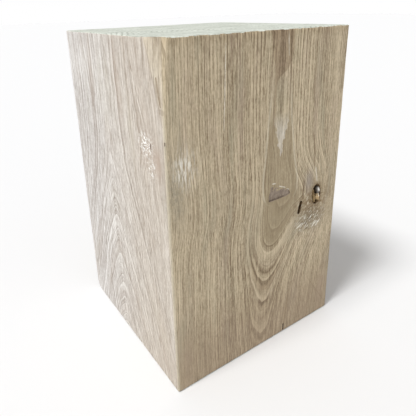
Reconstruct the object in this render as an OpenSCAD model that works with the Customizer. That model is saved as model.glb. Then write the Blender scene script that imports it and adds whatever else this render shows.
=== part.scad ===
// Tall sawn oak block: one solid offcut of a beam, standing on end.
// The origin is the centre of the base, +Z is up and the front face looks along -Y.

/* [Block] */
// Width of the block across its front face
block_w = 255; // [200:1:320]
// Depth of the block from the front face to the back
block_d = 250; // [200:1:320]
// Height of the block at the front of its top
block_h = 400; // [320:1:520]
// How far the saw cut runs down towards the back of the top
top_fall = 3; // [0:0.5:8]
// Width taken off each side of an eased arris
arris = 2; // [0.5:0.25:5]
// Length knocked off each edge at the rear left corner of the foot
foot_knock = 9; // [4:0.5:20]

/* [Wane at the front left arris] */
// Reach of the wane along the front face, at the top
wane_front = 9; // [5:0.5:20]
// Reach of the wane along the left face, at the top
wane_left = 28; // [12:0.5:45]
// How far the wane runs down the arris
wane_len = 87; // [40:1:160]

/* [Knot hole in the front face] */
// From the right arris to the middle of the hole
knot_from_right = 37.5; // [30:0.5:80]
// From the base to the middle of the hole
knot_up = 192; // [110:1:240]
// Width of the hole at the face
knot_w = 17; // [12:0.5:24]
// Height of the hole at the face
knot_h = 31; // [24:0.5:44]
// Depth of the wide mouth of the hole
knot_mouth = 8; // [4:0.5:14]
// Depth of the narrow throat behind the mouth
knot_throat = 16; // [8:0.5:30]
// Share of the mouth's size that the throat keeps
throat_share = 0.7; // [0.5:0.05:0.9]
// Angle by which the hole dips as it goes in
knot_dip = 14; // [0:1:25]
// Radius of the broken core that is left in the hole
core_r = 4; // [2:0.25:5]
// How far the tip of the core lies behind the face
core_sunk = 3; // [1:0.25:7]

/* [Slit beside the knot] */
// From the middle of the knot hole to the middle of the slit, towards the left
slit_from_knot = 29.5; // [24:0.5:45]
// How far the middle of the slit lies below the middle of the knot hole
slit_drop = 10; // [0:0.5:30]
// Width of the slit
slit_w = 3.5; // [1.5:0.25:6]
// Length of the slit
slit_len = 21; // [12:0.5:32]
// Lean of the slit off the upright
slit_lean = 15; // [0:1:35]
// Depth of the slit
slit_depth = 18; // [6:0.5:40]

/* [Torn chip in the front face] */
// From the right arris to the middle of the chip
chip_from_right = 104; // [85:1:130]
// From the base to the middle of the chip
chip_up = 212; // [120:1:260]
// Width of the chip
chip_w = 36; // [20:1:50]
// Height of the chip
chip_h = 20; // [10:1:32]
// Depth of the chip at its lower lip
chip_depth = 3; // [1:0.25:6]
// Turn of the chip on the face, clockwise
chip_turn = 12; // [0:1:30]

/* [Check at the foot] */
// From the right arris to the check
check_from_right = 87.5; // [40:0.5:160]
// Width of the check
check_w = 2; // [1:0.25:4]
// How far the check climbs up the front face
check_up = 13; // [6:0.5:30]
// How far the check runs in under the base
check_in = 26; // [10:1:60]

/* [Crack in the left face] */
// From the front left arris to the crack
crack_from_front = 31; // [20:0.5:60]
// From the base to the middle of the crack
crack_up = 294; // [250:1:310]
// Width of the crack
crack_w = 4; // [2:0.25:6]
// Length of the crack
crack_len = 15; // [9:0.5:24]
// Lean of the crack off the upright
crack_lean = 12; // [0:1:30]
// Depth of the crack
crack_depth = 9; // [3:0.5:18]

/* [Hidden] */
$fn = 64;
oak = "#bfae91";

// A cutter reaches this far past the face that it enters
past = 5;
// A prism that only trims edges reaches this far past the block on every side
flare = 20;
// Angle of the top, and the drop that it gives at a distance from the front face
fall_angle = atan(top_fall / block_d);
function top_at(from_front) = block_h - top_fall * from_front / block_d;

// The wane is a flat that leans in as it climbs the arris
wane_chord = norm([wane_front, wane_left]);
wane_bite = wane_front * wane_left / wane_chord;
wane_turn = atan2(-wane_left, wane_front);
wane_tilt = atan(wane_bite / wane_len);

// Stubs of the broken core: place up the hole, as a share of its height, and how much lower the tip lies
core_stubs = [[0.13, 0], [-0.16, 1]];

// Sides of the torn chip, as shares of its width and height
chip_outline = [[-0.5, -0.15], [-0.3, -0.5], [0.1, -0.3], [0.5, -0.42], [0.42, 0.25], [-0.36, 0.5]];
chip_tilt = atan(chip_depth / chip_h);

// Puts something drawn on the XY plane on the front face, +X to the right, +Y up and +Z outwards
module on_front(from_right, up) {
    translate([block_w / 2 - from_right, -block_d / 2, up]) rotate([90, 0, 0]) children();
}

// The same for the left face, where +X runs towards the front arris
module on_left(from_front, up) {
    translate([-block_w / 2, -block_d / 2 + from_front, up]) rotate([90, 0, -90]) children();
}

// Pointed oval between two arcs
module lens(w, h) {
    arc_r = (h * h + w * w) / (4 * w);
    intersection() {
        translate([arc_r - w / 2, 0]) circle(arc_r);
        translate([w / 2 - arc_r, 0]) circle(arc_r);
    }
}

// Upright slot with round ends
module slot(w, h) {
    straight = h - w;
    square([w, straight], center = true);
    for (end = [-1, 1]) translate([0, end * straight / 2]) circle(w / 2);
}

// Plan of the block with its four upright arrises eased
module plan() {
    x = block_w / 2;
    y = block_d / 2;
    polygon([
        [-x + arris, -y], [x - arris, -y], [x, -y + arris], [x, y - arris],
        [x - arris, y], [-x + arris, y], [-x, y - arris], [-x, -y + arris],
    ]);
}

// Side view that gives the slope of the top and eases the edges along X
module side_view() {
    front = -block_d / 2 + arris;
    back = block_d / 2 - arris;
    out = arris + flare;
    top_front = top_at(arris);
    top_back = top_at(block_d - arris);
    polygon([
        [front, 0], [back, 0], [back + out, out], [back + out, top_back - out],
        [back, top_back], [front, top_front], [front - out, top_front - out], [front - out, out],
    ]);
}

// Front view that eases the left and right edges of a flat at height 0, above it
module rim_view() {
    side = block_w / 2 - arris;
    out = arris + flare;
    polygon([
        [-side, 0], [side, 0], [side + out, out], [side + out, block_h + out],
        [-side - out, block_h + out], [-side - out, out],
    ]);
}

// The squared timber, before anything has happened to it
module squared_timber() {
    long_x = block_w + 2 * flare;
    long_y = block_d + 2 * flare;
    intersection() {
        linear_extrude(block_h) plan();
        rotate([90, 0, 90]) linear_extrude(long_x, center = true) side_view();
        rotate([90, 0, 0]) linear_extrude(long_y, center = true) rim_view();
        translate([0, -block_d / 2, block_h]) rotate([-fall_angle, 0, 0]) translate([0, block_d / 2, 0])
            mirror([0, 0, 1]) rotate([90, 0, 0]) linear_extrude(long_y, center = true) rim_view();
    }
}

// Space outside the log, where the corner of the square was never filled
module wane() {
    reach = block_h;
    translate([-block_w / 2, -block_d / 2, block_h - wane_len]) rotate([0, 0, wane_turn])
        rotate([-wane_tilt, 0, 0]) translate([-reach / 2, -reach, -reach / 2]) cube(reach);
}

// Corner of the foot that was knocked off at the rear left, square to its diagonal
module knocked_corner() {
    diagonal = sqrt(3);
    size = 4 * foot_knock;
    translate([-block_w / 2, block_d / 2, 0]) rotate([0, acos(1 / diagonal), -45])
        translate([-size / 2, -size / 2, foot_knock / diagonal - size]) cube(size);
}

// Mouth and throat of the hole that the dead knot left, dipping as it goes in
module knot_hole() {
    rotate([-knot_dip, 0, 0]) {
        translate([0, 0, -knot_mouth]) linear_extrude(knot_mouth + 2 * past) lens(knot_w, knot_h);
        translate([0, 0, -knot_mouth - knot_throat]) linear_extrude(knot_mouth + knot_throat)
            lens(knot_w * throat_share, knot_h * throat_share);
    }
}

// What is left of the knot itself: broken stubs on the right wall of the hole
module knot_core() {
    stub_x = knot_w / 2 - core_r;
    stub_base = -knot_mouth - knot_throat;
    rotate([-knot_dip, 0, 0]) for (stub = core_stubs) {
        tip = -core_sunk - core_r - stub[1];
        translate([stub_x, stub[0] * knot_h, stub_base]) cylinder(r = core_r, h = tip - stub_base);
        translate([stub_x, stub[0] * knot_h, tip]) sphere(core_r);
    }
}

// Narrow slit that leans beside the knot
module slit() {
    rotate([0, 0, -slit_lean]) translate([0, 0, -slit_depth])
        linear_extrude(slit_depth + past) slot(slit_w, slit_len);
}

// Torn chip: it starts at its upper edge and digs in towards the lower lip
module chip() {
    rotate([0, 0, -chip_turn]) translate([0, chip_h / 2, 0]) rotate([chip_tilt, 0, 0])
        linear_extrude(chip_depth + past) translate([0, -chip_h / 2])
            polygon([for (corner = chip_outline) [corner.x * chip_w, corner.y * chip_h]]);
}

// Drying check: a thin blade that opens at the foot and runs out up the face
module foot_check() {
    rise = check_up / check_in;
    rotate([0, 90, 0]) linear_extrude(check_w, center = true)
        polygon([[-past, -past], [check_in + past / rise, -past], [-past, check_up + past * rise]]);
}

// Gaping crack in the knotty patch
module crack() {
    rotate([0, 0, crack_lean]) translate([0, 0, -crack_depth])
        linear_extrude(crack_depth + past) lens(crack_w, crack_len);
}

// The whole block: the squared timber less what growth, drying and handling took from it
module oak_block() {
    color(oak) difference() {
        squared_timber();
        wane();
        knocked_corner();
        on_front(knot_from_right, knot_up) difference() {
            knot_hole();
            knot_core();
        }
        on_front(knot_from_right + slit_from_knot, knot_up - slit_drop) slit();
        on_front(chip_from_right, chip_up) chip();
        on_front(check_from_right, 0) foot_check();
        on_left(crack_from_front, crack_up) crack();
    }
}

oak_block();
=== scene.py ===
import math
from contextlib import contextmanager

import bmesh
import bpy
from bpy.props import FloatProperty, FloatVectorProperty, PointerProperty
from mathutils import Matrix, Vector


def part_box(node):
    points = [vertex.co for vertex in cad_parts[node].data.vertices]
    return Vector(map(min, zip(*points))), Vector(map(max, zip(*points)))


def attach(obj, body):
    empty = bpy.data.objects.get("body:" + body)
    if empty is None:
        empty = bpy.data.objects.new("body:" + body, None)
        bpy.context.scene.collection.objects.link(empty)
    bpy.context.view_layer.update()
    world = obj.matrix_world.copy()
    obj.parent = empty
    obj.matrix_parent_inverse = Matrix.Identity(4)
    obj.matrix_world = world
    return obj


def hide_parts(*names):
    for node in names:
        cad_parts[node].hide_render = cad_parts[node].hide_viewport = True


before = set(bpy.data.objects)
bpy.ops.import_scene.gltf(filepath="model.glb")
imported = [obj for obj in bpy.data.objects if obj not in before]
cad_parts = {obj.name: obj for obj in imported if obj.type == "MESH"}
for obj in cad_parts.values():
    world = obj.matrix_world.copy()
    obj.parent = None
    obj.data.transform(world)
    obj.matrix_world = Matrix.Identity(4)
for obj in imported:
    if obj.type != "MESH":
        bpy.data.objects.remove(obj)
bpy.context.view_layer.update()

bl_info = {
    "name": "Weathered Oak Block",
    "version": (1, 0, 0),
    "blender": (4, 5, 0),
    "location": "View3D > Sidebar > Oak Block",
    "description": "Dresses a sawn oak block with its wane, knots, torn grain and growth rings",
    "category": "Object",
}

MM = 0.001
NODE = "oak_block"
PIECE = "weathered_oak_block"

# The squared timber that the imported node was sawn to
low, high = (Vector(corner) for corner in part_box(NODE))
WIDTH = high.x - low.x
DEPTH = high.y - low.y

# Cutters start this far outside the face that they open
PAST = 5 * MM

# Wood this near to a face is worked by what happens to that face
SKIN = 12 * MM

# Cuts across each face of the timber, and across its small squares where the wood is torn
FACE_CUTS = 95
TORN_CUTS = 2

# Sides of a round cutter or stub
ROUND_SIDES = 28

# Curves of the pith, as (height, place) in millimetres. The front face cuts the rings round a pith that
# swings from side to side and comes nearer to the face towards the top.
FRONT_PITH_ACROSS = [
    (0, -1), (36, 0), (76, 3), (98, 6), (120, 9), (150, 12), (167, 14), (185, 17), (210, 23), (230, 24.5),
    (255, 23), (300, 21.5), (400, 21)]
FRONT_PITH_BEHIND = [
    (0, 60.5), (35, 58), (60, 55.8), (88, 53), (116, 48), (137, 44), (152, 41), (165, 39.2), (178, 38),
    (220, 35), (260, 34), (300, 33), (400, 33)]

# Deep in the wood the pith is straight: its place across, how far behind the front its foot is, and its slant
DEEP_PITH_ACROSS = 12
DEEP_PITH_BEHIND = 36
DEEP_PITH_SLANT = 0.06

# Arrow-shaped figure on the left face: its middle, how far that swings, how blunt the tips and the flanks of
# the rings are, and how far the rings have grown at each height
ARROW_ACROSS = 11
ARROW_SWING = 7
ARROW_TIP = 5
ARROW_FLANK = 45
ARROW_GROWTH = [
    (0, 0), (18, 8), (63, 27), (112, 47), (141, 59), (182, 76), (212, 88), (237, 97), (270, 104), (400, 108)]

# Paleness through one ring: it starts dark and porous, grows paler, and ends in a thin cream line
RING_PROFILE = [(0, -1), (0.1, -0.75), (0.3, 0), (0.7, 0.15), (0.86, 0.9), (0.96, 1), (1, 0)]

# Heart of the rings on the sawn ends, across and behind the middle of the block in millimetres
END_HEART = (18, -84)

# Outlines of the dark wedge and of the bulb below it on the front face, as (height, place across)
WEDGE_LEFT = [(0, 2), (270, 3), (297, 8.5), (330, 9.5), (353, 10.5), (369, 7.5), (400, 3.5)]
WEDGE_RIGHT = [
    (0, 5), (270, 11), (297, 13.5), (340, 14), (350, 18), (354, 24), (364, 33), (382, 38), (400, 37)]
BULB_LEFT = [
    (0, 23), (196, 22), (200, 9), (205, 2.7), (222, -2.5), (233, -2.8), (258, -0.5), (299, 2.8), (321, 5),
    (400, 8)]
BULB_RIGHT = [
    (0, 24), (196, 25), (200, 40), (205, 50), (218, 52.7), (235, 50.4), (254, 46.2), (286, 40.9),
    (310, 37.8), (400, 34)]

# Painted highlights: glints on the broken core, as (place across, height) in millimetres
CORE_GLINT = (95.2, 197.5)
AMBER_GLINT = (96.8, 189)


# Settings

def length(name, description, millimetres):
    """A length that is written in millimetres and kept in metres."""
    return FloatProperty(name=name, description=description, default=millimetres * MM, unit="LENGTH")


def place(name, description, across, up):
    """A place on a face: across it from its middle, and up from the base."""
    return FloatVectorProperty(
        name=name, description=description, size=2, default=(across * MM, up * MM), unit="LENGTH")


def colour(name, description, red, green, blue):
    """A colour in linear light."""
    return FloatVectorProperty(
        name=name, description=description, size=3, default=(red, green, blue), subtype="COLOR", min=0, max=1)


def turn(name, description, degrees):
    """An angle that is written in degrees and kept in radians."""
    return FloatProperty(name=name, description=description, default=math.radians(degrees), subtype="ANGLE")


def amount(name, description, value):
    """A plain number, such as a strength or a share."""
    return FloatProperty(name=name, description=description, default=value)


class OakBlockShape(bpy.types.PropertyGroup):
    """Sizes of what growth, sawing, drying and handling did to the block."""

    top_fall: length("Fall of the top", "How far the saw cut runs down towards the back", 3)
    arris: length("Eased arris", "Width taken off each side of an edge", 2)
    foot_knock: length("Knocked foot corner", "Length knocked off each edge at the rear left of the foot", 9)
    wane_front: length("Wane on the front", "Reach of the wane along the front face at the top", 9)
    wane_left: length("Wane on the left", "Reach of the wane along the left face at the top", 28)
    wane_length: length("Wane length", "How far the wane runs down the arris", 87)
    knot: place("Knot hole", "Middle of the knot hole on the front face", 90, 192)
    knot_width: length("Knot hole width", "Width of the knot hole at the face", 17)
    knot_height: length("Knot hole height", "Height of the knot hole at the face", 31)
    knot_mouth: length("Knot mouth", "Depth of the wide mouth of the knot hole", 8)
    knot_throat: length("Knot throat", "Depth of the narrow throat behind the mouth", 16)
    throat_share: amount("Throat share", "Share of the mouth's size that the throat keeps", 0.72)
    knot_dip: turn("Knot dip", "Angle by which the knot hole dips as it goes in", 14)
    core_radius: length("Knot core", "Radius of the broken core left in the knot hole", 4)
    core_sunk: length("Core depth", "How far the tip of the core lies behind the face", 3)
    slit: place("Slit", "Middle of the slit beside the knot", 60.5, 182)
    slit_width: length("Slit width", "Width of the slit", 3.5)
    slit_length: length("Slit length", "Length of the slit", 21)
    slit_depth: length("Slit depth", "Depth of the slit", 18)
    slit_lean: turn("Slit lean", "Lean of the slit off the upright", 15)
    chip: place("Torn chip", "Middle of the torn chip on the front face", 23.5, 212)
    chip_width: length("Chip width", "Width of the torn chip", 36)
    chip_height: length("Chip height", "Height of the torn chip", 20)
    chip_depth: length("Chip depth", "Depth of the torn chip at its lower lip", 3)
    chip_turn: turn("Chip turn", "Turn of the chip on the face", 12)
    check: place("Foot check", "Where the drying check opens at the foot of the front face", 40, 0)
    check_width: length("Check width", "Width of the drying check", 2)
    check_up: length("Check climb", "How far the check climbs up the front face", 13)
    check_in: length("Check reach", "How far the check runs in under the base", 26)
    rough: place("Rough patch", "Middle of the torn wood below the knot hole", 80, 158)
    patch: place("Torn patch", "Middle of the torn patch beside the front left arris", -106, 275)
    crack: place(
        "Crack", "Middle of the crack on the left face, across it from the middle to the back", -94, 294)
    crack_width: length("Crack width", "Width of the crack", 4)
    crack_length: length("Crack length", "Length of the crack", 15)
    crack_depth: length("Crack depth", "Depth of the crack", 9)
    crack_lean: turn("Crack lean", "Lean of the crack off the upright", 12)
    nick_up: length("Nick height", "From the base to the nick in the front left arris", 304)
    nick_width: length("Nick width", "Width of the nick", 3)
    nick_length: length("Nick length", "Length of the nick along the arris", 9)
    nick_depth: length("Nick depth", "Depth of the nick", 2.6)


class OakBlockFinish(bpy.types.PropertyGroup):
    """Colours of the wood and of its marks, with some painted light and shade."""

    latewood: colour("Latewood", "Dense pale wood between the pores", 0.68, 0.57, 0.40)
    earlywood: colour("Earlywood", "Porous darker wood at the start of a ring", 0.225, 0.165, 0.098)
    # The dry colours are partly painted light: the left face is paler and cooler than the front for the light
    # on that side
    dry_late: colour("Dry latewood", "Pale wood of the left face", 0.795, 0.78, 0.755)
    dry_early: colour("Dry earlywood", "Darker wood of the left face", 0.345, 0.295, 0.26)
    dry_tan: colour("Dry tan", "Tan tint of the left face near the arris", 0.60, 0.51, 0.41)
    sap: colour("Sapwood", "Yellowish wood under the bark", 0.70, 0.635, 0.49)
    rosy: colour("Rosy wood", "Pinkish bands of heartwood", 0.45, 0.345, 0.27)
    olive: colour("Olive wood", "Weathered, slightly green bands", 0.40, 0.37, 0.265)
    grey: colour("Grey wood", "Bruised and weathered wood", 0.33, 0.29, 0.215)
    stain: colour("Dark heart", "Shade that the dark heart lays over the wood", 0.71, 0.665, 0.63)
    # Brown shade darkens browner parts of the front, and on the wane it is painted shade
    shade: colour("Brown shade", "Shade over browner parts of the front and of the wane", 0.82, 0.79, 0.75)
    bark: colour("Bark brown", "Brown that is left by bark and knots", 0.17, 0.105, 0.05)
    # Torn fibres are pale fresh wood, and partly painted glints where they stand up
    torn: colour("Torn fibre", "Broken fibres that catch the light", 0.90, 0.86, 0.76)
    white_fibre: colour("White fibre", "Fresh flecks round the crack, and bleached wood", 0.96, 0.95, 0.91)
    knot_brown: colour("Knot brown", "Mottled wood round the knot hole", 0.21, 0.135, 0.062)
    husk: colour("Knot husk", "Dead wood between the core and the left wall of the hole", 0.38, 0.27, 0.135)
    bulb_tan: colour("Bulb tan", "Close-grained wood in the bulb of the heart", 0.35, 0.278, 0.175)
    # The torn chip's recess is painted darker brown than the face round it
    chip_floor: colour("Torn floor", "Floor of the torn chip", 0.35, 0.285, 0.225)
    chip_shade: colour("Torn floor shade", "Darker wood in the torn chip", 0.22, 0.17, 0.13)
    # Painted shade: the walls of the knot hole, the slit and the foot check are near black
    hollow: colour("Hollow", "Inside of the knot hole, the slit and the foot check", 0.045, 0.030, 0.016)
    black_shade: colour("Blackest hollow", "Dark streaks deep inside the knot hole", 0.008, 0.006, 0.004)
    # Painted shade: what wood in the knot hole darkens to with depth
    depth_shade: colour("Dim wood", "What wood in the knot hole fades to with depth", 0.06, 0.04, 0.021)
    core: colour("Knot core", "Smooth grey end of the broken knot", 0.15, 0.13, 0.115)
    core_pale: colour("Pale core", "Paler streaks on the end of the broken knot", 0.30, 0.27, 0.245)
    amber: colour("Amber core", "Torn resinous wood of the broken knot", 0.36, 0.19, 0.055)
    amber_pale: colour("Pale amber", "Freshly torn resinous wood", 0.86, 0.70, 0.42)
    # Colour of the glints painted on the broken core
    painted_glint: colour("Rubbed spot", "Spots on the broken core that catch the light", 1, 0.97, 0.88)
    end_pale: colour("End grain", "Sawn end grain", 0.71, 0.74, 0.67)
    end_dark: colour("End grain rings", "Porous rings in the end grain", 0.31, 0.33, 0.275)
    ring_pitch: length("Ring width", "Usual width of a growth ring", 3.2)


class OakBlockStage(bpy.types.PropertyGroup):
    """Floor, light and camera."""

    floor_size: length("Floor", "Side of the floor", 24000)
    floor_colour: colour("Floor colour", "Pale matt floor", 0.80, 0.80, 0.803)
    low_light: amount("Low light", "Strength of the room's light at the horizon", 1.0)
    high_light: amount("High light", "Strength of the room's light overhead", 0.30)
    key_strength: amount("Key light", "Strength of the key light", 2.5)
    key_height: turn("Key height", "Angle of the key light above the floor", 61)
    key_side: turn("Key side", "Turn of the key light from the left side towards the front", 5)
    key_softness: turn("Key softness", "Angle that the key light fills", 16)
    camera_place: FloatVectorProperty(
        name="Camera", description="Where the camera stands", unit="LENGTH",
        default=(-0.3046, -0.4518, 0.4264))
    camera_yaw: turn("Camera yaw", "Turn of the view from +Y towards +X", 34.667)
    camera_pitch: turn("Camera pitch", "Tilt of the view, down is negative", -19.628)
    camera_roll: turn("Camera roll", "Roll of the view", -1.279)
    camera_lens: FloatProperty(
        name="Lens", description="Focal length in millimetres", default=36.61, unit="CAMERA")
    camera_shift: amount("Shift", "Rise of the lens, as a share of the frame", -0.13)


# Modelling

def only(piece):
    """Selects one object alone and makes it the active one."""
    bpy.ops.object.select_all(action="DESELECT")
    piece.select_set(True)
    bpy.context.view_layer.objects.active = piece


def fixed(piece):
    """Puts an object's place, turn and size into its mesh."""
    only(piece)
    bpy.ops.object.transform_apply(location=True, rotation=True, scale=True)


def blank(primitive, name, wood=None, **settings):
    """Adds a primitive to model from, with its name and its wood."""
    bpy.ops.object.select_all(action="DESELECT")
    primitive(**settings)
    piece = bpy.context.object
    piece.name = piece.data.name = name
    if wood:
        piece.data.materials.append(wood)
    return piece


@contextmanager
def editing(piece):
    """Edit mode for one object alone."""
    only(piece)
    bpy.ops.object.mode_set(mode="EDIT")
    yield
    bpy.ops.object.mode_set(mode="OBJECT")


def pick(piece, kind, test):
    """Selects, in edit mode, the verts, edges or faces that pass a test."""
    kinds = ("verts", "edges", "faces")
    bpy.ops.mesh.select_all(action="DESELECT")
    bpy.context.tool_settings.mesh_select_mode = [kind == each for each in kinds]
    mesh = bmesh.from_edit_mesh(piece.data)
    for element in getattr(mesh, kind):
        if test(element):
            element.select_set(True)
    mesh.select_flush_mode()
    bmesh.update_edit_mesh(piece.data)


def weighted(piece, name, weight):
    """Adds a vertex group in which each vertex has the weight of its place."""
    group = piece.vertex_groups.new(name=name)
    for vertex in piece.data.vertices:
        share = weight(vertex.co)
        if share > 0:
            group.add([vertex.index], min(share, 1), "REPLACE")


def applied(piece, name, kind, **settings):
    """Adds a modifier, sets it, applies it and drops the weights that it used."""
    only(piece)
    modifier = piece.modifiers.new(name, kind)
    for setting, value in settings.items():
        setattr(modifier, setting, value)
    bpy.context.view_layer.update()
    bpy.ops.object.modifier_apply(modifier=modifier.name)
    piece.vertex_groups.clear()


def refine(piece, cuts, test):
    """Divides the four-sided faces whose middle passes a test."""
    with editing(piece):
        pick(piece, "faces", lambda face: len(face.verts) == 4 and test(face.calc_center_median()))
        bpy.ops.mesh.subdivide(number_cuts=cuts)


def press_flat(piece, name, point, outwards, blunt, rounds=5):
    """Presses what lies outside a plane onto it, then blunts the borders of the flat, but not at the top."""
    outwards = Vector(outwards).normalized()

    def above(place):
        return (place - point).dot(outwards)

    def border(place):
        return (1 + above(place) / blunt) * min(1, (high.z - place.z) / (10 * MM))

    board = blank(bpy.ops.mesh.primitive_plane_add, name + "_board", size=2, location=point)
    board.rotation_euler = outwards.to_track_quat("Z", "Y").to_euler()
    weighted(piece, name, lambda place: 1.0 if above(place) > 0 else 0.0)
    applied(piece, name, "SHRINKWRAP", wrap_method="NEAREST_SURFACEPOINT", target=board, vertex_group=name)
    bpy.data.objects.remove(board)
    weighted(piece, name, border)
    applied(piece, name, "SMOOTH", factor=0.5, iterations=rounds, vertex_group=name)


def uneven(piece, name, depth, size, stretch=1, level=1.0, weight=lambda place: 1.0):
    """Works a noise, stretched upwards, into the surface. A level of 1 only presses it in."""
    texture = bpy.data.textures.new(name, "CLOUDS")
    texture.noise_scale = size
    texture.noise_depth = 2
    bpy.ops.object.empty_add(location=(0, 0, 0))
    ruler = bpy.context.object
    ruler.scale = (1, 1, stretch)
    weighted(piece, name, weight)
    applied(piece, name, "DISPLACE", texture=texture, texture_coords="OBJECT", texture_coords_object=ruler,
            direction="NORMAL", mid_level=level, strength=depth, vertex_group=name)
    bpy.data.objects.remove(ruler)
    bpy.data.textures.remove(texture)


def spot(point, middle, reach):
    """Weight that is 1 in the middle of a spot and falls to 0 at its reach along each axis."""
    away = sum(((point[i] - middle[i]) / reach[i]) ** 2 for i in range(3))
    return max(0.0, 1 - away)


def on_front(place):
    """Point on the front face from its place across and up."""
    return Vector((place[0], low.y, place[1]))


def torn_zones(shape):
    """Middle and reach of each zone whose wood is torn or chipped."""
    def front_zone(place, right, up, reach_across, reach_up):
        middle = on_front(place) + Vector((right, 0, up)) * MM
        return middle, (reach_across * MM, SKIN, reach_up * MM)

    crack = Vector((low.x, shape.crack[0] + 6 * MM, shape.crack[1] - 6 * MM))
    return {
        "knot": front_zone(shape.knot, -8, 0, 36, 40),
        "rough_patch": front_zone(shape.rough, -1, -2, 32, 24),
        "chip": front_zone(shape.chip, 0, 0, 27, 20),
        "torn_patch": front_zone(shape.patch, -1, -3, 17, 28),
        "crack": (crack, (SKIN, 26 * MM, 32 * MM)),
    }


def side_gaps(point):
    """Distances from a point to the four upright sides."""
    return [point.x - low.x, high.x - point.x, point.y - low.y, high.y - point.y]


def inner(point):
    """Whether a point on a face lies clear of the arrises."""
    return sorted(side_gaps(point))[1] > 6 * MM


def saw_timber(shape):
    """The squared timber with its sloped top, eased arrises, wane and knocked corner."""
    height = high.z + shape.top_fall * shape.arris / DEPTH
    piece = blank(bpy.ops.mesh.primitive_cube_add, PIECE, size=1, location=(0, 0, height / 2),
                  scale=(WIDTH, DEPTH, height))
    fixed(piece)
    with editing(piece):
        pick(piece, "verts", lambda vert: vert.co.z > height / 2 and vert.co.y > 0)
        bpy.ops.transform.translate(value=(0, 0, -shape.top_fall))
        bpy.ops.mesh.select_all(action="SELECT")
        bpy.ops.mesh.subdivide(number_cuts=FACE_CUTS)
    zones = torn_zones(shape).values()
    refine(piece, TORN_CUTS, lambda point: inner(point) and any(spot(point, *zone) > 0 for zone in zones))

    sharp = math.radians(40)
    with editing(piece):
        pick(piece, "edges", lambda edge: len(edge.link_faces) == 2 and edge.calc_face_angle() > sharp)
        bpy.ops.mesh.bevel(offset=shape.arris, offset_type="OFFSET", segments=3, affect="EDGES")

    along_front = Vector((shape.wane_front, 0, 0))
    along_left = Vector((0, shape.wane_left, 0))
    down = Vector((0, 0, -shape.wane_length))
    outwards = (along_left - along_front).cross(down - along_front)
    front_left_top = Vector((low.x, low.y, height))
    press_flat(piece, "wane", front_left_top + along_front, outwards, 6 * MM, rounds=18)

    rear_left_foot = Vector((low.x, high.y, 0))
    along_foot = Vector((shape.foot_knock, 0, 0))
    press_flat(piece, "knocked_corner", rear_left_foot + along_foot, (-1, 1, -1), 1 * MM)
    return piece


def weather(piece, shape):
    """Uneven sawn faces, worn arrises, and the torn wood round the knots."""
    zones = torn_zones(shape)

    def zone(name):
        return lambda point: spot(point, *zones[name])

    def above_base(point):
        return 1.0 if point.z > 0.1 * MM else 0.0

    def long_grain(point):
        under_top = min(1.0, (high.z - point.z) / (20 * MM))
        return above_base(point) * under_top if min(side_gaps(point)) < SKIN else 0.0

    def arris(point):
        gaps = sorted(side_gaps(point) + [high.z - point.z])
        return above_base(point) * max(0.0, 1 - gaps[1] / (5 * MM))

    # Name, depth and size in millimetres, stretch along the grain, and where it lies
    for name, depth, size, stretch, weight in (
            ("hollow_faces", 0.6, 70, 1, above_base),
            ("raised_grain", 0.55, 5, 16, long_grain),
            ("worn_arris", 0.8, 16, 1, arris),
            ("knot_wood", 1.8, 6, 1, zone("knot")),
            ("rough_wood", 2.4, 3.5, 1, zone("rough_patch")),
            ("crack_wood", 2.4, 3.5, 1, zone("crack")),
            ("torn_wood", 1.4, 3, 4, zone("torn_patch"))):
        uneven(piece, name, depth * MM, size * MM, stretch, weight=weight)
    for vertex in piece.data.vertices:
        vertex.co = [max(least, min(most, along)) for least, along, most in zip(low, vertex.co, high)]


def facing_out(point, inwards, lean=0.0):
    """Matrix that puts +Z on the way out of a face and keeps +Y upright, leaning by an angle."""
    out = -Vector(inwards).normalized()
    across = Vector((0, 0, 1)).cross(out).normalized()
    axes = Matrix((across, out.cross(across), out)).transposed().to_4x4()
    return Matrix.Translation(point) @ axes @ Matrix.Rotation(lean, 4, "Z")


def hollow(name, wood, middle, inwards, size, lean=0.0, floor_share=0.6, rough=1 * MM, slot=False):
    """A roughened cutter, oval or a slot with round ends, that opens at a face and narrows to its floor."""
    width, height, depth = size
    cutter = blank(bpy.ops.mesh.primitive_cylinder_add, name, wood, vertices=ROUND_SIDES, radius=width / 2,
                   depth=depth + PAST)
    with editing(cutter):
        if slot:
            for side in (-1, 1):
                pick(cutter, "verts", lambda vert: vert.co.y * side > width * 0.01)
                bpy.ops.transform.translate(value=(0, side * (height - width) / 2, 0))
        else:
            bpy.ops.mesh.select_all(action="SELECT")
            bpy.ops.transform.resize(value=(1, height / width, 1))
        pick(cutter, "verts", lambda vert: vert.co.z < 0)
        bpy.ops.transform.resize(value=(floor_share, floor_share, 1))
        pick(cutter, "edges", lambda edge: abs(edge.verts[0].co.z - edge.verts[1].co.z) > depth / 2)
        bpy.ops.mesh.subdivide(number_cuts=7)
    half_in = Matrix.Translation((0, 0, (PAST - depth) / 2))
    cutter.matrix_world = facing_out(middle, inwards, lean) @ half_in
    fixed(cutter)
    uneven(cutter, name + "_wall", rough, max(width, 4 * MM) * 0.6, level=0.5)
    return cutter


def stub(name, wood, tip, inwards, width, height, reach, splinter):
    """A stub of the knot's core, with a dome, that reaches from the floor of the hole to its tip."""
    piece = blank(bpy.ops.mesh.primitive_uv_sphere_add, name, wood, segments=ROUND_SIDES, ring_count=18,
                  radius=0.5)
    dome = width / 2
    with editing(piece):
        bpy.ops.mesh.select_all(action="SELECT")
        bpy.ops.transform.resize(value=(width, height, width))
        pick(piece, "verts", lambda vert: vert.co.z < -dome * 0.05)
        bpy.ops.transform.translate(value=(0, 0, width - reach))
    piece.matrix_world = facing_out(tip, inwards) @ Matrix.Translation((0, 0, -dome))
    fixed(piece)
    uneven(piece, name + "_splinters", splinter, 2.2 * MM, level=0.5)
    return piece


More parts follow.
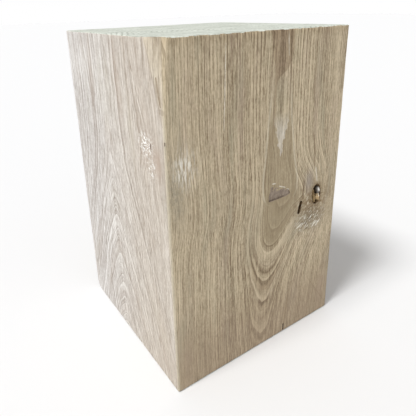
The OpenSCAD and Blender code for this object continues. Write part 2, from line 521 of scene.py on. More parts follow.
def knot_cutter(shape, woods):
    """The knot hole: a wide mouth and a throat, less the stubs of its broken core."""
    middle = on_front(shape.knot)
    dip = Vector((0, math.cos(shape.knot_dip), -math.sin(shape.knot_dip)))
    wide, tall = shape.knot_width, shape.knot_height
    deep = shape.knot_mouth + shape.knot_throat
    throat_size = (wide * shape.throat_share, tall * shape.throat_share, deep)
    mouth = hollow("knot_mouth", woods["rim"], middle, dip, (wide, tall, shape.knot_mouth),
                   floor_share=0.8, rough=2.6 * MM)
    throat = hollow("knot_throat", woods["hollow"], middle, dip, throat_size, rough=1.6 * MM)
    cut(mouth, [throat], "UNION")
    right = wide / 2 - shape.core_radius
    core = 2 * shape.core_radius
    sunk_end, sunk_torn = shape.core_sunk - 1.5 * MM, shape.core_sunk - 1 * MM
    stubs = []
    # Name, wood, place across and up from the middle, how far the tip is sunk, width, height and splinters
    for name, wood, across, up, sunk, width, height, splinter in (
            ("core_end", "core", right + 1.5 * MM, 0.17 * tall, sunk_end, 0.58 * core, 1.2 * core, 1.2),
            ("core_torn", "amber", right + 1.4 * MM, -0.15 * tall, sunk_torn, 0.85 * core, 1.35 * core, 3.8),
            ("core_husk", "husk", -0.08 * wide, -0.03 * tall, 3.4 * MM, 0.28 * wide, 0.66 * tall, 2.8)):
        tip = middle + Vector((across, 0, up)) + dip * sunk
        stubs.append(stub(name, woods[wood], tip, dip, width, height, deep, splinter * MM))
    cut(mouth, stubs, "DIFFERENCE")
    return mouth


def chip_cutter(shape, wood):
    """The torn chip: nothing at its upper edge, deepest at its jagged lower lip."""
    outline = ((0.52, -0.06), (0.4, 0.22), (-0.3, 0.5), (-0.46, 0.38), (-0.45, -0.5), (0.06, -0.33))
    wide, tall, depth = shape.chip_width, shape.chip_height, shape.chip_depth
    cutter = blank(bpy.ops.mesh.primitive_circle_add, "torn_chip", wood, vertices=len(outline),
                   radius=wide / 2, fill_type="NGON")
    with editing(cutter):
        corners = [vert.co.copy() for vert in bmesh.from_edit_mesh(cutter.data).verts]
        for corner, (across, up) in zip(corners, outline):
            pick(cutter, "verts", lambda vert: (vert.co - corner).length < 0.01 * MM)
            torn_to = Vector((across * wide, (up - 0.5) * tall, 0))
            bpy.ops.transform.translate(value=torn_to - corner)
        bpy.ops.mesh.select_all(action="SELECT")
        bpy.ops.mesh.extrude_region_move(TRANSFORM_OT_translate={"value": (0, 0, depth + PAST)})
        bpy.ops.mesh.select_all(action="SELECT")
        bpy.ops.mesh.normals_make_consistent(inside=False)
        bpy.ops.mesh.quads_convert_to_tris()
        bpy.ops.mesh.subdivide(number_cuts=11)
    face = facing_out(on_front(shape.chip), (0, 1, 0), -shape.chip_turn)
    tilt = Matrix.Rotation(math.atan(depth / tall), 4, "X")
    cutter.matrix_world = face @ (Matrix.Translation((0, tall / 2, 0)) @ tilt)
    fixed(cutter)
    uneven(cutter, "torn_chip_wall", 3.2 * MM, 4 * MM, level=0.5)
    return cutter


def check_cutter(shape, wood):
    """The drying check: a thin blade that opens at the foot and runs out up the face."""
    size = Vector((shape.check_width, shape.check_in + PAST, shape.check_up + PAST))
    corner = Vector((shape.check[0] - size.x / 2, low.y - PAST, -PAST))
    blade = blank(bpy.ops.mesh.primitive_cube_add, "foot_check", wood, size=1, location=corner + size / 2,
                  scale=size)
    fixed(blade)
    with editing(blade):
        bpy.ops.mesh.select_all(action="SELECT")
        bpy.ops.mesh.bisect(
            plane_co=(shape.check[0], low.y, shape.check_up),
            plane_no=Vector((0, shape.check_up, shape.check_in)).normalized(),
            use_fill=True, clear_outer=True, threshold=1e-6)
        bpy.ops.mesh.select_all(action="SELECT")
        bpy.ops.mesh.subdivide(number_cuts=5)
    uneven(blade, "foot_check_wall", 0.8 * MM, 6 * MM, level=0.5)
    return blade


def cut(piece, cutters, operation):
    """Joins cutters to a piece, or takes them out and leaves their wood bare, and removes them."""
    for cutter in cutters:
        applied(piece, cutter.name, "BOOLEAN", operation=operation, solver="MANIFOLD", object=cutter,
                material_mode="TRANSFER")
        bpy.data.objects.remove(cutter)


def open_wood(piece, shape, woods):
    """Cuts the knot hole, the slit, the cracks, the chip and a nick in the arris."""
    from_front, from_left, from_arris = (0, 1, 0), (1, 0, 0), (1, 1, 0)
    crack = Vector((low.x, shape.crack[0], shape.crack[1]))
    nick = Vector((low.x, low.y, shape.nick_up))
    # The mouth of the slit is worn wider, and the lips of the crack have closed a little
    worn, closed = 1.6, 0.8
    slit_size = (shape.slit_width * worn, shape.slit_length, shape.slit_depth)
    crack_size = (shape.crack_width * closed, shape.crack_length, shape.crack_depth)
    nick_size = (shape.nick_width, shape.nick_length, shape.nick_depth)
    cut(piece, [
        knot_cutter(shape, woods),
        hollow("slit", woods["slit"], on_front(shape.slit), from_front, slit_size,
               lean=-shape.slit_lean, floor_share=0.5, rough=0.9 * MM, slot=True),
        hollow("crack", woods["crack"], crack, from_left, crack_size,
               lean=shape.crack_lean, floor_share=0.3, rough=2.2 * MM),
        chip_cutter(shape, woods["chip"]),
        check_cutter(shape, woods["hollow"]),
        hollow("arris_nick", woods["chip"], nick, from_arris, nick_size, floor_share=0.4, rough=0.8 * MM),
    ], "DIFFERENCE")


# Finishes

class Field:
    """A number that varies through the wood. Arithmetic on it adds Math nodes."""

    def __init__(self, tree, socket):
        self.tree = tree
        self.socket = socket

    def math(self, operation, *values):
        return math_node(self.tree, operation, self, *values)

    def __add__(self, other):
        return self.math("ADD", other)

    def __sub__(self, other):
        return self.math("SUBTRACT", other)

    def __mul__(self, other):
        return self.math("MULTIPLY", other)

    def __truediv__(self, other):
        return self.math("DIVIDE", other)

    def __rsub__(self, other):
        return math_node(self.tree, "SUBTRACT", other, self)

    def __neg__(self):
        return self * -1

    __radd__ = __add__
    __rmul__ = __mul__

    def squared(self):
        return self * self

    def smaller(self, other):
        return self.math("MINIMUM", other)

    def larger(self, other):
        return self.math("MAXIMUM", other)

    def rise(self, start, end):
        """0 before start, 1 past end, with a smooth step between; it falls if end is less than start."""
        if end < start:
            return 1 - self.rise(end, start)
        node = self.tree.nodes.new("ShaderNodeMapRange")
        node.interpolation_type = "SMOOTHSTEP"
        plug(self.tree, node.inputs["Value"], self)
        node.inputs["From Min"].default_value = start
        node.inputs["From Max"].default_value = end
        return Field(self.tree, node.outputs["Result"])

    def along(self, points):
        """A smooth curve through (position, value) points, in order of position."""
        first, last = points[0][0], points[-1][0]
        values = [value for _, value in points]
        least, span = min(values), max(values) - min(values)
        node = self.tree.nodes.new("ShaderNodeFloatCurve")
        curve = node.mapping.curves[0]
        shares = [((at - first) / (last - first), (value - least) / span) for at, value in points]
        curve.points[0].location = shares[0]
        curve.points[1].location = shares[-1]
        for share in shares[1:-1]:
            curve.points.new(*share)
        node.mapping.update()
        plug(self.tree, node.inputs["Value"], (self - first) / (last - first))
        return Field(self.tree, node.outputs["Value"]) * span + least


def plug(tree, socket, value):
    """Links a field or an output to an input, or sets the input to a plain value."""
    if isinstance(value, Field):
        tree.links.new(value.socket, socket)
    elif isinstance(value, bpy.types.NodeSocket):
        tree.links.new(value, socket)
    elif hasattr(value, "__len__") and len(value) == 3 and len(socket.default_value) == 4:
        socket.default_value = (*value, 1)
    else:
        socket.default_value = value


def math_node(tree, operation, *values):
    node = tree.nodes.new("ShaderNodeMath")
    node.operation = operation
    for socket, value in zip(node.inputs, values):
        plug(tree, socket, value)
    return Field(tree, node.outputs["Value"])


def hypot(a, b):
    return (a.squared() + b.squared()).math("SQRT")


def bell(*shares):
    """1 where all the shares are 0, falling off as they grow."""
    total = shares[0].squared()
    for share in shares[1:]:
        total = total + share.squared()
    return (-total).math("EXPONENT")


def noise(tree, x, y, z, detail=2.0, roughness=0.5):
    """Smooth noise about 0, mostly between -0.5 and 0.5, at a point that is given in grains."""
    point = tree.nodes.new("ShaderNodeCombineXYZ")
    for socket, value in zip(point.inputs, (x, y, z)):
        plug(tree, socket, value)
    node = tree.nodes.new("ShaderNodeTexNoise")
    tree.links.new(point.outputs[0], node.inputs["Vector"])
    node.inputs["Scale"].default_value = 1
    node.inputs["Detail"].default_value = detail
    node.inputs["Roughness"].default_value = roughness
    return Field(tree, node.outputs["Fac"]) - 0.5


def blend(tree, base, over, share, mode="MIX"):
    """Lays one colour over another by a share."""
    node = tree.nodes.new("ShaderNodeMix")
    node.data_type = "RGBA"
    node.blend_type = mode
    node.clamp_factor = True
    plug(tree, node.inputs[0], share)
    plug(tree, node.inputs[6], base)
    plug(tree, node.inputs[7], over)
    return node.outputs[2]


def lerp(a, b, share):
    return a + (b - a) * share


def new_material(name, roughness, specular=0.25):
    material = bpy.data.materials.new(name)
    material.use_nodes = True
    tree = material.node_tree
    shader = tree.nodes["Principled BSDF"]
    shader.inputs["Roughness"].default_value = roughness
    shader.inputs["Specular IOR Level"].default_value = specular
    return material, tree, shader


def grain_position(tree):
    """Place in the wood in millimetres: across, back and up."""
    position = tree.nodes.new("ShaderNodeTexCoord").outputs["Object"]
    split = tree.nodes.new("ShaderNodeSeparateXYZ")
    tree.links.new(position, split.inputs[0])
    return [Field(tree, output) / MM for output in split.outputs]


class Wood:
    """A colour that is built up in coats, each laid by a share."""

    def __init__(self, tree, base):
        self.tree = tree
        self.colour = base

    def coat(self, over, share, mode="MIX"):
        self.colour = blend(self.tree, self.colour, over, share, mode)

    def shade(self, over, share):
        self.coat(over, share, "MULTIPLY")


def dress(shader, wood, height, depth):
    """Gives a shader its wood, and a bump whose height field spans a depth in metres."""
    tree = wood.tree
    bump = tree.nodes.new("ShaderNodeBump")
    bump.inputs["Strength"].default_value = 1.0
    bump.inputs["Distance"].default_value = depth
    plug(tree, bump.inputs["Height"], height)
    tree.links.new(bump.outputs["Normal"], shader.inputs["Normal"])
    tree.links.new(wood.colour, shader.inputs["Base Color"])


def stroke(across, up, start, end, width):
    """A soft mark along a line on a face, with points in millimetres across and up."""
    run = (end[0] - start[0], end[1] - start[1])
    reach = run[0] ** 2 + run[1] ** 2
    u, v = across - start[0], up - start[1]
    share = ((u * run[0] + v * run[1]) / reach).larger(0).smaller(1)
    taper = 1 - (share - 0.5).squared() * 2.4
    return (hypot(u - share * run[0], v - share * run[1]) / taper).rise(width, 0)


class Grain:
    """Place in the wood, the faces that are near, and the noises that follow its fibres."""

    def __init__(self, tree, shape):
        self.tree = tree
        self.x, self.y, self.z = grain_position(tree)
        self.behind = self.y - low.y / MM
        self.inside = self.x - low.x / MM
        self.below = high.z / MM - self.z
        self.on_front = self.behind.rise(16, 4)
        to_back = DEPTH / MM - self.behind
        to_right = WIDTH / MM - self.inside
        from_left = self.behind.smaller(to_back) - self.inside
        self.on_left = from_left.rise(-1.5, 3)
        self.on_back = (self.inside.smaller(to_right) - to_back).rise(-1.5, 3)
        self.nearer_left = from_left.rise(-0.2, 0.2)
        x, y, z = self.x, self.y, self.z
        self.ripple = noise(tree, x / 12, y / 12, z / 170, detail=2) * 1.6
        self.hairs = noise(tree, x * 0.9, y * 0.45, z / 14, detail=2, roughness=0.7)
        self.crumbs = noise(tree, x / 2.6, y / 3.6, z / 3.4, detail=3, roughness=0.7)
        self.grit = noise(tree, x / 1.5, y / 3, z / 2.6, detail=1)
        wane_up = 1 - self.below / (shape.wane_length / MM)
        in_log = self.inside / (shape.wane_front / MM) + self.behind / (shape.wane_left / MM) - wane_up
        self.facet = in_log.rise(0.18, 0.06) * wane_up.rise(-0.02, 0.1)
        # The swings of the pith are seen on the front; deeper in the wood it runs straight
        shallow = self.behind.rise(100, 20)
        pith_across = lerp(DEEP_PITH_ACROSS, z.along(FRONT_PITH_ACROSS), shallow)
        deep_behind = z * DEEP_PITH_SLANT + DEEP_PITH_BEHIND
        pith_behind = lerp(deep_behind, z.along(FRONT_PITH_BEHIND), shallow)
        self.front_rings = hypot(x - pith_across, self.behind - pith_behind)
        self.phase = self.ring_phase(shape)

    def ring_phase(self, shape):
        """Distance from the pith, bent round the knots, in millimetres of growth."""
        x, y, z = self.x, self.y, self.z
        swing = noise(self.tree, z / 45, 5, 0, detail=1) * ARROW_SWING
        aside = (y - ARROW_ACROSS - swing).squared()
        tip, flank = ((aside + blunt ** 2).math("SQRT") for blunt in (ARROW_TIP, ARROW_FLANK))
        left_rings = tip * 0.5 + flank * 0.5 + z.along(ARROW_GROWTH)
        right_of_knot, above_knot = x - shape.knot[0] / MM, z - shape.knot[1] / MM
        knot = bell(right_of_knot / 40, above_knot / 48, self.behind / 60) * 27
        behind_crack, above_crack = y - shape.crack[0] / MM, z - shape.crack[1] / MM
        crack = bell((behind_crack - 4) / 26, (above_crack - 12) / 46, self.inside / 60) * 17
        wander = noise(self.tree, x / 50, y / 50, z / 420, detail=1) * 6
        self.knot_pull = knot
        return lerp(self.front_rings, left_rings, self.nearer_left) - knot - crack + wander + self.ripple


def ring_wood(grain, finish):
    """Colour of the rings, fibres and pores, with the left face dry and partly painted light, and its relief.
    """
    tree, phase, z = grain.tree, grain.phase, grain.z
    spread = 1 + grain.nearer_left * 1.2
    ring = phase / (spread * (finish.ring_pitch / MM)) + noise(tree, phase / 13, z / 900, 0, detail=1) * 2.4
    profile = ring.math("FRACT").along(RING_PROFILE)
    strength = noise(tree, ring * 0.43, 7, z / 500, detail=1).rise(-0.3, 0.25)
    fibres = noise(tree, phase / spread * 0.9, z / 160, grain.behind / 40, detail=2, roughness=0.7)
    streaks = noise(tree, grain.x * 0.6, grain.y * 0.3, z / 120, detail=2, roughness=0.7)
    bands = noise(tree, phase * 0.07, z / 420, 3, detail=2)
    paleness = 0.5 + profile * (0.12 + strength * 0.24) + bands * 0.7
    paleness = paleness + fibres * 1.3 + streaks * 1.2 + grain.hairs * 1.5 + grain.grit * 0.5

    # The left face is dry and bleached, and painted paler and cooler as painted light, most of all far from
    # the front; its rings show less
    far = grain.behind.rise(20, 250)
    dry_and_painted_light = grain.on_left * (0.75 + far * 0.25) * (1 - grain.facet * 0.3) + grain.on_back * 0.3
    calm_foot = z.rise(150, 40) * (1 - grain.nearer_left) * 0.3
    contrast = 1.42 - calm_foot - grain.nearer_left * 0.48
    paleness = 0.5 + (paleness - 0.5) * contrast - grain.nearer_left * 0.05
    early = blend(tree, finish.earlywood, finish.dry_early, dry_and_painted_light)
    late = blend(tree, finish.latewood, finish.dry_late, dry_and_painted_light)
    wood = Wood(tree, blend(tree, early, late, paleness))
    rosy = noise(tree, phase / 15, z / 160, 11, detail=2).rise(-0.02, 0.3)
    wood.coat(finish.rosy, rosy * (0.5 - dry_and_painted_light * 0.3))
    olive = noise(tree, phase / 12, z / 130, 23, detail=2).rise(0.0, 0.3)
    wood.coat(finish.olive, olive * (0.5 - dry_and_painted_light * 0.36))

    # It is tanner near the front, with a bloom at the top and along the far edge that is partly a painted
    # highlight
    near = grain.behind.rise(150, 10) * (0.8 + bands * 2)
    wood.coat(finish.dry_tan, near * dry_and_painted_light * 0.42)
    bloom_and_painted_glow = bell((grain.y - 75) / 45, (z - 365) / 28) * 0.3 + grain.behind.rise(195, 250) * 0.1
    wood.coat(finish.white_fibre, bloom_and_painted_glow * grain.on_left * (0.8 + fibres * 3))

    # The front is palest beside the arris, and browner in the middle, at the foot and under the top
    fades = grain.x.rise(-40, -115) * 0.22 + grain.x.rise(60, 120) * 0.1
    wood.coat(finish.latewood, fades * (1 - dry_and_painted_light))
    browner = bell((grain.x + 15) / 45) * 0.3 + z.rise(130, 20) * 1.0 + grain.below.rise(12, 3) * 0.6
    wood.shade(finish.shade, browner * (1 - dry_and_painted_light))
    wood.coat(finish.rosy, z.rise(110, 20) * (1 - dry_and_painted_light) * 0.25)

    # Pores are short dark dashes that gather at the start of a ring
    pore = noise(tree, grain.x * 0.75, grain.y * 0.75, z / 16, detail=1).rise(0.17, 0.3)
    pore = pore * (0.5 - profile * 0.5)
    wood.coat(finish.bark, pore * (0.55 - dry_and_painted_light * 0.3))
    relief = grain.hairs * 0.8 + fibres * 0.7 - pore * 0.8 + profile * 0.2
    return wood, relief


def heart_wood(grain, finish, wood):
    """The dark wedge, the bulb below it, and the lines of the innermost rings on the front face."""
    tree, x, z, face = grain.tree, grain.x, grain.z, grain.on_front
    edge = x + grain.ripple * 0.5 + grain.crumbs * 1.5
    wedge = (edge - z.along(WEDGE_LEFT)).rise(-1, 1.5) * (z.along(WEDGE_RIGHT) - edge).rise(-1, 1.5)
    wedge = wedge * z.rise(262, 290) * face
    wood.shade(finish.stain, wedge * (0.95 + grain.hairs * 1.6))

    bulb_left, bulb_right = z.along(BULB_LEFT), z.along(BULB_RIGHT)
    swung = x + grain.ripple * 0.35
    jag = noise(tree, x / 4, 0, z / 9, detail=2) * 12
    # A pale tongue with a jagged edge hangs into the bulb from above
    tongue = ((z - 258) * 0.25 - (edge - 22.5).math("ABSOLUTE") + jag).rise(-0.6, 0.8)
    tongue = tongue * z.rise(340, 300) * face
    bulb = (edge - bulb_left).rise(0, 2) * (bulb_right - edge).rise(0, 2)
    bulb = bulb * z.rise(198, 206) * z.rise(325, 285) * face * (1 - tongue)
    wood.coat(finish.bulb_tan, bulb * (0.6 + grain.hairs * 1.1 + grain.crumbs * 0.9))
    wood.coat(finish.dry_late, tongue * z.rise(315, 285) * (0.3 + grain.hairs))
    rim = bell((swung - bulb_left) / 1.2).larger(bell((swung - bulb_right) / 1.2)) * z.rise(196, 205)
    rim = rim * z.rise(345, 315) * face
    wood.coat(finish.sap, rim * (0.5 + grain.hairs * 0.8))
    rim_shade = bell((swung - bulb_left - 2.6) / 1.1) * z.rise(212, 222) * z.rise(300, 262) * face
    wood.shade(finish.stain, rim_shade * 0.7)

    inner_rings = grain.front_rings - grain.knot_pull + grain.ripple * 0.6
    by_bulb = face * x.rise(66, 46)
    plain = inner_rings.rise(44, 40) * z.rise(126, 142) * z.rise(222, 204) * by_bulb
    wood.coat(finish.bulb_tan, plain * (0.7 + grain.hairs * 1.2 + grain.crumbs * 0.8))
    # Growth rings that turn under the bulb: radius, half width, lowest and highest place, colour and share
    for radius, half, lowest, highest, over, share, mode in (
            (45.5, 1.4, 128, 150, finish.latewood, 0.45, "MIX"),
            (44.2, 1.0, 132, 205, finish.latewood, 0.5, "MIX"),
            (47.5, 1.0, 116, 215, finish.latewood, 0.3, "MIX"),
            (49, 1.1, 110, 215, finish.stain, 0.3, "MULTIPLY"),
            (52.6, 1.5, 82, 150, finish.stain, 0.75, "MULTIPLY"),
            (54.6, 0.8, 74, 190, finish.latewood, 0.4, "MIX")):
        line = bell((inner_rings - radius) / half)
        line = line * z.rise(lowest - 6, lowest + 4) * z.rise(highest + 25, highest - 5)
        wood.coat(over, line * by_bulb * (share + grain.hairs * 0.9), mode)


def knot_wood(grain, shape, finish, wood):
    """Bruised and torn wood round the knot hole and the crack and by the arris. Returns its relief."""
    tree, x, y, z, crumbs = grain.tree, grain.x, grain.y, grain.z, grain.crumbs
    face, side = grain.on_front, grain.on_left
    knot_x, knot_z = (along / MM for along in shape.knot)
    rough_x, rough_z = (along / MM for along in shape.rough)
    patch_x, patch_z = (along / MM for along in shape.patch)
    crack_y, crack_z = (along / MM for along in shape.crack)

    bruise = bell((x - knot_x + 10) / 24, (z - knot_z + 13) / 19) * face
    mottle = noise(tree, x / 3.4, y / 3.4, z / 4.2, detail=3, roughness=0.65)
    wood.coat(finish.knot_brown, (bruise * (0.6 + mottle * 4.5)).larger(0).smaller(0.85))
    wood.coat(finish.sap, bruise * mottle.rise(-0.05, -0.18) * 0.7)
    rim = bell((x - knot_x) / 14, (z - knot_z + 2) / 21) * face
    wood.coat(finish.knot_brown, (rim * (0.8 + mottle * 3)).larger(0).smaller(0.9))
    wood.coat(finish.bark, rim * crumbs.rise(0.02, 0.2) * 0.8)
    smooth_grey = bell((x - 75) / 7, (z - 214) / 15) * face
    wood.coat(finish.dry_early, smooth_grey * 0.7)

    # Rough patch below the knot: grey, with fibres that are torn up towards the right
    rough = bell((x - rough_x) / 22, (z - rough_z) / 14) * face
    wood.coat(finish.grey, (rough * (0.7 + crumbs)).smaller(0.7))
    wood.coat(finish.bark, rough * crumbs.rise(0.02, 0.22) * 0.85)
    along, over = x * 0.78 + z * 0.62, z * 0.78 - x * 0.62
    lifted = noise(tree, along / 7, over / 1.9, 5, detail=2, roughness=0.6)
    wood.coat(finish.bark, (rough * (-lifted).rise(0.03, 0.16) * 1.1).smaller(0.8))
    wood.coat(finish.torn, (rough * lifted.rise(0.04, 0.17) * 1.3).smaller(0.9))
    broken = face * (0.75 + crumbs * 1.6)
    for start, end in (((85, 146), (94, 153)), ((92, 146), (100, 153)), ((57, 153), (67, 157.5))):
        wood.coat(finish.torn, stroke(x, z, start, end, 2.2) * broken)

    # Crack on the left face: pale flecks and brown specks, with a tail below and tan wood by the arris
    away_y, away_z = y - crack_y, z - crack_z
    fan = noise(tree, away_z.math("ARCTAN2", away_y) * 5, hypot(away_y, away_z) / 4.5, 9, detail=2)
    flecked = bell((away_y - 10) / 13, away_z / 11) * side
    tail = bell((away_y - 1) / 9, (away_z + 21) / 15) * side
    tan = bell((away_y - 2) / 18, (away_z + 4) / 26) * 0.35
    tan = tan + bell((away_y + 16) / 9, (away_z + 14) / 16) * 0.6
    wood.coat(finish.rosy, tan * side)
    wood.coat(finish.white_fibre, (flecked * fan.rise(-0.03, 0.13) * 1.4).smaller(0.9))
    wood.coat(finish.white_fibre, (tail * (-crumbs).rise(0, 0.16)).smaller(0.8))
    wood.coat(finish.bark, (flecked + tail) * crumbs.rise(0.1, 0.24) * 0.5)

    # Torn patch on the front face beside the arris, with grey wood round it
    bruised = bell((x - patch_x + 11) / 11, (z - patch_z + 23) / 36) * face
    wood.coat(finish.grey, (bruised * (0.6 + crumbs * 2.4)).larger(0).smaller(0.8))
    torn = bell((x - patch_x) / 11, (z - patch_z) / 17) * face
    flakes = noise(tree, x * 0.5, 0, z / 13, detail=2, roughness=0.65)
    wood.coat(finish.bark, torn * (-flakes).rise(0.06, 0.2) * 0.45)
    wood.coat(finish.torn, (torn * flakes.rise(-0.08, 0.12) * 1.1).smaller(0.78))
    return (rough + flecked + tail) * crumbs


def marked_wood(grain, finish, wood):
    """Sapwood on the wane with painted shade on its front part, pale worn arrises that are partly a painted
    highlight, and marks left by bark, drying and handling.
    """
    x, y, z = grain.x, grain.y, grain.z
    wood.coat(finish.sap, grain.facet * (0.3 + grain.hairs * 0.8))
    # Painted shade: the wane facet darkens towards the front face, where it turns from the light
    wood.shade(finish.shade, grain.facet * grain.inside.rise(0, 6) * 0.9)
    # The front left arris is paler: worn wood, and partly a painted highlight along the edge
    arris = grain.inside.larger(grain.behind)
    wood.coat(finish.sap, arris.rise(3.6, 1.2) * (0.6 + grain.crumbs))

    drift = grain.ripple * 0.8
    broken = 0.75 + grain.hairs * 2.2
    left, wane, front = (y, grain.on_left), (y, grain.inside.rise(9, 6)), (x, grain.on_front)
    # Dark marks: place across and face, ends, width and share
    for (across, face), start, end, width, share in (
            (left, (70.5, 392), (50, 301), 3.2, 0.5),
            (left, (55, 366), (49, 316), 2.6, 0.4),
            (left, (-63, 375), (-66.5, 365), 2.4, 0.7),
            (left, (-94, 400), (-92, 374), 1.8, 0.5),
            (wane, (-97, 398), (-122, 320), 1.8, 0.4),
            (wane, (-113, 364), (-119, 338), 3.0, 0.8),
            (front, (79, 274), (83.5, 228), 2.6, 0.7),
            (front, (65, 211), (64, 194), 1.8, 0.8),
            (front, (81, 71), (129, 2), 1.0, 0.35),
            (front, (-6, 342), (-5, 334), 2.4, 0.8),
            (front, (-25, 333), (-26.5, 315), 1.8, 0.6),
            (front, (40, 6), (47, 66), 3.0, 0.5),
            (front, (-126, 336), (-126, 331), 1.8, 0.4)):
        mark = stroke(across + drift, z, start, end, width)
        wood.coat(finish.bark, mark * face * broken * share)
    # Pale torn lines on the front face, partly painted glints on raised fibres: ends and width
    bright = (0.55 + grain.crumbs * 1.6 + grain.hairs * 1.2).smaller(0.9)
    for start, end, width in (
            ((-55, 390), (-58, 305), 1.0), ((28, 398), (30, 372), 0.8), ((85, 231), (90, 210), 1.6),
            ((11, 227.5), (17, 226.5), 1.5), ((22, 222), (33, 217.5), 1.3), ((35, 215), (39, 213), 1.7)):
        line = stroke(x + drift * 0.3, z, start, end, width)
        wood.coat(finish.torn, line * grain.on_front * bright)


def oak_sides(shape, finish):
    """Long grain: rings, fibres, pores, the dark heart, the knots and what handling left."""
    material, tree, shader = new_material("rough_sawn_oak", 0.82)
    grain = Grain(tree, shape)
    wood, relief = ring_wood(grain, finish)
    heart_wood(grain, finish, wood)
    torn_relief = knot_wood(grain, shape, finish, wood)
    marked_wood(grain, finish, wood)
    dress(shader, wood, relief + torn_relief, 1.0 * MM)
    return material


def oak_ends(finish):
    """End grain: rings round the heart, rays, drying checks and saw marks."""
    material, tree, shader = new_material("oak_end_grain", 0.88)
    x, y, z = grain_position(tree)
    wander = noise(tree, x / 60, y / 60, z / 60, detail=2) * 16
    right_of_heart, behind_heart = x - END_HEART[0], y - END_HEART[1]
    from_heart = hypot(right_of_heart, behind_heart) + wander
    ring = from_heart / (finish.ring_pitch / MM * 1.7)
    porous = ring.math("FRACT").rise(0.45, 0.0)
    strength = noise(tree, ring * 0.31, 3, 0, detail=1).rise(-0.3, 0.3)
    turned = behind_heart.math("ARCTAN2", right_of_heart)
    rays = noise(tree, turned * 38, from_heart / 60, 5, detail=3, roughness=0.6)
    checks = noise(tree, turned * 9, from_heart / 45, 8, detail=1).rise(0.26, 0.33)
    speck = noise(tree, x / 2.4, y / 5, z, detail=2)
    sawn = noise(tree, (x * 0.34 + y * 0.94) / 13, (x * 0.94 - y * 0.34) / 60, 1, detail=3, roughness=0.65)
    patches = noise(tree, x / 26, y / 34, 9, detail=3)
    paleness = 0.7 - porous * (0.15 + strength * 0.5) + rays * 0.9 + speck * 1.0 + sawn * 1.1 + patches * 0.7
    wood = Wood(tree, blend(tree, finish.end_dark, finish.end_pale, paleness))
    wood.coat(finish.olive, patches.rise(0.06, 0.3) * 0.45)
    wood.coat(finish.bark, checks * from_heart.rise(6, 20) * 0.45)
    dress(shader, wood, sawn * 1.2 + speck * 0.6 - porous * 0.3, 0.8 * MM)
    return material


def bare_wood(finish, name, pale, dark, roughness, specular=0.25, along=5.0, across=2.6, painted_glint=None,
              shade_with_depth=False):
    """Wood laid bare in a cavity: streaks in two colours, perhaps a painted glint, perhaps painted shade that
    deepens with depth.
    """
    material, tree, shader = new_material(name, roughness, specular)
    x, y, z = grain_position(tree)
    streaks = noise(tree, x / across, y / across, z / along, detail=3, roughness=0.65)
    wood = Wood(tree, blend(tree, dark, pale, streaks.rise(-0.22, 0.22)))
    # Painted highlight: a glint on the knot's core
    if painted_glint:
        wood.coat(finish.painted_glint, bell((x - painted_glint[0]) / 1.2, (z - painted_glint[1]) / 2.2))
    # Painted shade that deepens behind the face
    if shade_with_depth:
        wood.coat(finish.depth_shade, (y - low.y / MM + streaks * 6).rise(3, 7))
    dress(shader, wood, streaks, 0.6 * MM)
    return material


def all_woods(shape, finish):
    """Every wood of the block by name."""
    woods = {"sides": oak_sides(shape, finish), "ends": oak_ends(finish)}
    # Name, material, pale and dark streaks, roughness and what else sets the wood apart
    for name, material, pale, dark, roughness, more in (
            # The hollow colours and the darkening with depth paint shade into the cavities
            ("hollow", "knot_hollow", finish.hollow, finish.black_shade, 0.9, {}),
            ("rim", "knot_rim", finish.knot_brown, finish.hollow, 0.8, {"along": 4, "shade_with_depth": True}),
            ("slit", "slit_wall", finish.bark, finish.hollow, 0.9, {}),
            ("crack", "crack_wall", finish.rosy, finish.bark, 0.9, {}),
            ("chip", "torn_chip_floor", finish.chip_floor, finish.chip_shade, 0.85, {"along": 9}),
            ("husk", "knot_husk", finish.husk, finish.knot_brown, 0.8, {"along": 4}),
            ("core", "knot_end", finish.core_pale, finish.core, 0.42,
             {"specular": 0.5, "along": 2, "painted_glint": CORE_GLINT, "shade_with_depth": True}),
            ("amber", "resinous_knot", finish.amber_pale, finish.amber, 0.5,
             {"specular": 0.4, "along": 2.4, "across": 1.3, "painted_glint": AMBER_GLINT, "shade_with_depth": True})):
        woods[name] = bare_wood(finish, material, pale, dark, roughness, **more)
    return woods


def finish_piece(piece, woods):
    """Gives the ends their wood and shades round edges smoothly."""
    piece.data.materials.append(woods["ends"])
    ends = len(piece.data.materials) - 1
    foot, head = 1 * MM, high.z - 6 * MM

    def end_face(face):
        up = face.calc_center_median().z
        return face.material_index == 0 and abs(face.normal.z) > 0.7 and (up < foot or up > head)

    with editing(piece):
        pick(piece, "faces", end_face)
        piece.active_material_index = ends
        bpy.ops.object.material_slot_assign()
    piece.active_material_index = 0
    bpy.ops.object.shade_smooth_by_angle(angle=math.radians(38))


# Operators

class OAK_OT_block(bpy.types.Operator):
    """Model and finish the weathered oak block"""

    bl_idname = "oak.block"
    bl_label = "Oak Block"

    def execute(self, context):
        shape, finish = context.scene.oak_shape, context.scene.oak_finish
        woods = all_woods(shape, finish)
        piece = saw_timber(shape)
        piece.data.materials.append(woods["sides"])
        weather(piece, shape)
        open_wood(piece, shape, woods)
        finish_piece(piece, woods)
        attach(piece, "root")
        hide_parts(NODE)
        return {"FINISHED"}


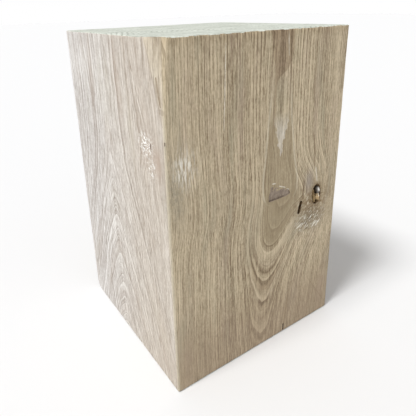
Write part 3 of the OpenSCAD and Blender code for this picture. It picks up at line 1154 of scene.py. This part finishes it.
class OAK_OT_stage(bpy.types.Operator):
    """Lay the floor, light the room and place the camera"""

    bl_idname = "oak.stage"
    bl_label = "Studio Stage"

    def execute(self, context):
        stage = context.scene.oak_stage
        self.lay_floor(stage)
        self.light_room(context.scene, stage)
        self.place_camera(context.scene, stage)
        return {"FINISHED"}

    def lay_floor(self, stage):
        material, _, shader = new_material("pale_floor", 0.95, 0)
        shader.inputs["Base Color"].default_value = (*stage.floor_colour, 1)
        floor = blank(bpy.ops.mesh.primitive_plane_add, "studio_floor", material, size=stage.floor_size)

    def light_room(self, scene, stage):
        scene.view_settings.view_transform = "Standard"
        world = bpy.data.worlds.new("studio_room")
        world.use_nodes = True
        tree = world.node_tree
        split = tree.nodes.new("ShaderNodeSeparateXYZ")
        tree.links.new(tree.nodes.new("ShaderNodeTexCoord").outputs["Generated"], split.inputs[0])
        overhead = Field(tree, split.outputs["Z"]).larger(0)
        light = stage.low_light + overhead * (stage.high_light - stage.low_light)
        background = tree.nodes["Background"]
        background.inputs["Color"].default_value = (1, 1, 1, 1)
        plug(tree, background.inputs["Strength"], light)
        scene.world = world
        bpy.ops.object.light_add(type="SUN", location=(-1, 0, 2))
        key = bpy.context.object
        key.name = "key_light"
        key.data.energy = stage.key_strength
        key.data.angle = stage.key_softness
        flat, fall = math.cos(stage.key_height), math.sin(stage.key_height)
        shine = Vector((flat * math.cos(stage.key_side), flat * math.sin(stage.key_side), -fall))
        key.rotation_euler = shine.to_track_quat("-Z", "Y").to_euler()

    def place_camera(self, scene, stage):
        bpy.ops.object.camera_add(location=stage.camera_place)
        camera = bpy.context.object
        camera.name = "photo_camera"
        camera.data.lens = stage.camera_lens
        camera.data.sensor_width = 36
        camera.data.shift_y = stage.camera_shift
        camera.data.clip_start = 0.01
        yaw = Matrix.Rotation(-stage.camera_yaw, 3, "Z")
        pitch = Matrix.Rotation(math.pi / 2 + stage.camera_pitch, 3, "X")
        roll = Matrix.Rotation(stage.camera_roll, 3, "Z")
        camera.rotation_euler = (yaw @ pitch @ roll).to_euler()
        scene.camera = camera


class OAK_PT_panel(bpy.types.Panel):
    """Oak block tools"""

    bl_idname = "OAK_PT_panel"
    bl_label = "Oak Block"
    bl_space_type = "VIEW_3D"
    bl_region_type = "UI"
    bl_category = "Oak Block"

    def draw(self, context):
        for operator in (OAK_OT_block, OAK_OT_stage):
            self.layout.operator(operator.bl_idname)
        for settings in (context.scene.oak_shape, context.scene.oak_finish, context.scene.oak_stage):
            box = self.layout.box()
            for name in settings.bl_rna.properties.keys():
                if name not in ("rna_type", "name"):
                    box.prop(settings, name)


CLASSES = (OakBlockShape, OakBlockFinish, OakBlockStage, OAK_OT_block, OAK_OT_stage, OAK_PT_panel)


def register():
    for each in CLASSES:
        bpy.utils.register_class(each)
    bpy.types.Scene.oak_shape = PointerProperty(type=OakBlockShape)
    bpy.types.Scene.oak_finish = PointerProperty(type=OakBlockFinish)
    bpy.types.Scene.oak_stage = PointerProperty(type=OakBlockStage)


def unregister():
    del bpy.types.Scene.oak_shape, bpy.types.Scene.oak_finish, bpy.types.Scene.oak_stage
    for each in reversed(CLASSES):
        bpy.utils.unregister_class(each)


def main():
    register()
    bpy.ops.oak.block()
    bpy.ops.oak.stage()


if __name__ == "__main__":
    main()
